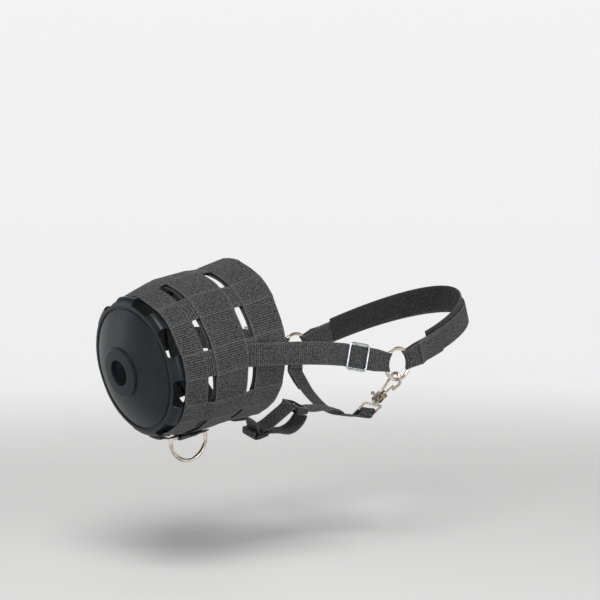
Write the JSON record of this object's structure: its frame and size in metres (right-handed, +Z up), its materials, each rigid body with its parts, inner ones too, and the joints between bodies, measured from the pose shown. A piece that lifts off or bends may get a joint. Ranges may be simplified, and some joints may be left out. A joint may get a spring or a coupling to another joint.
{
  "type": "basket muzzle",
  "caption": "Grazing muzzle for a horse: a domed moulded cup with a central hole, a basket of flat webbing, and a halter with cheek, crown, throat and chin straps.",
  "frame": {"origin": "centre of the rear opening of the basket, where the head goes in", "axes": "+Z up as worn, -Y towards the cup, +X towards the near (left) side of the animal"},
  "size_m": [0.197, 0.4859, 0.2186],
  "materials": {
    "rubber": "satin moulded rubber, charcoal",
    "webbing": "ribbed woven nylon, black",
    "lining": "smooth woven nylon, black",
    "plastic": "moulded plastic, black",
    "nickel": "polished nickel plate"
  },
  "bodies": {
    "muzzle": {"cup": "rubber", "front_band": "webbing", "middle_band": "webbing", "rear_band": "webbing", "front_lining": "lining", "middle_lining": "lining", "rear_lining": "lining", "top_strap": "webbing", "upper_near_strap": "webbing", "side_near_strap": "webbing", "lower_near_strap": "webbing", "bottom_strap": "webbing", "lower_off_strap": "webbing", "side_off_strap": "webbing", "upper_off_strap": "webbing", "front_fold": "webbing", "ring_keeper": "webbing", "cheek_strap_near": "webbing", "cheek_strap_off": "webbing", "crown_strap": "webbing", "crown_end_near": "webbing", "crown_end_off": "webbing", "throat_strap": "webbing", "throat_end_off": "webbing", "snap_eye": "nickel", "chin_tab": "webbing", "chin_loop": "plastic", "chin_strap": "webbing", "chin_tail": "webbing"},
    "lead_ring": {"lead_ring": "nickel"},
    "cheek_ring_near": {"cheek_ring_near": "nickel"},
    "cheek_ring_off": {"cheek_ring_off": "nickel"},
    "cheek_slider_near": {"cheek_slider_near": "nickel"},
    "cheek_slider_off": {"cheek_slider_off": "nickel"},
    "chin_slider": {"chin_slider": "plastic"},
    "snap": {"snap_body": "nickel", "snap_rivet": "nickel", "snap_spring": "nickel"},
    "gate": {"snap_gate": "nickel"}
  },
  "joints": [
    {"name": "lead_ring_swing", "type": "hinge", "parent": "muzzle", "child": "lead_ring", "pos_m": [0, -0.06705, -0.09973], "axis": [0, 0.9877, 0.1564], "range_deg": [-80, 80]},
    {"name": "cheek_ring_near_turn", "type": "hinge", "parent": "muzzle", "child": "cheek_ring_near", "pos_m": [0.0915, 0.154, -0.0325], "axis": [1, 0, 0], "continuous": true},
    {"name": "cheek_ring_off_turn", "type": "hinge", "parent": "muzzle", "child": "cheek_ring_off", "pos_m": [-0.0915, 0.154, -0.0325], "axis": [1, 0, 0], "continuous": true},
    {"name": "cheek_slider_near_slide", "type": "slide", "parent": "muzzle", "child": "cheek_slider_near", "axis": [0, 0.9781, -0.2079], "range_m": [-0.003, 0.012]},
    {"name": "cheek_slider_off_slide", "type": "slide", "parent": "muzzle", "child": "cheek_slider_off", "axis": [0, 0.9781, -0.2079], "range_m": [-0.003, 0.012]},
    {"name": "chin_slider_slide", "type": "slide", "parent": "muzzle", "child": "chin_slider", "axis": [-0.0503, 0.9703, -0.2366], "range_m": [-0.001, 0.003]},
    {"name": "snap_swivel", "type": "hinge", "parent": "muzzle", "child": "snap", "pos_m": [0.05248, 0.154, -0.08126], "axis": [0.7804, 0, 0.6252], "range_deg": [-20, 20]},
    {"name": "gate_press", "type": "hinge", "parent": "snap", "child": "gate", "pos_m": [0.06184, 0.154, -0.07376], "axis": [0, -1, 0], "range_deg": [0, 10], "stiffness_Nm_per_rad": 0.02, "springref_deg": -17.19}
  ]
}
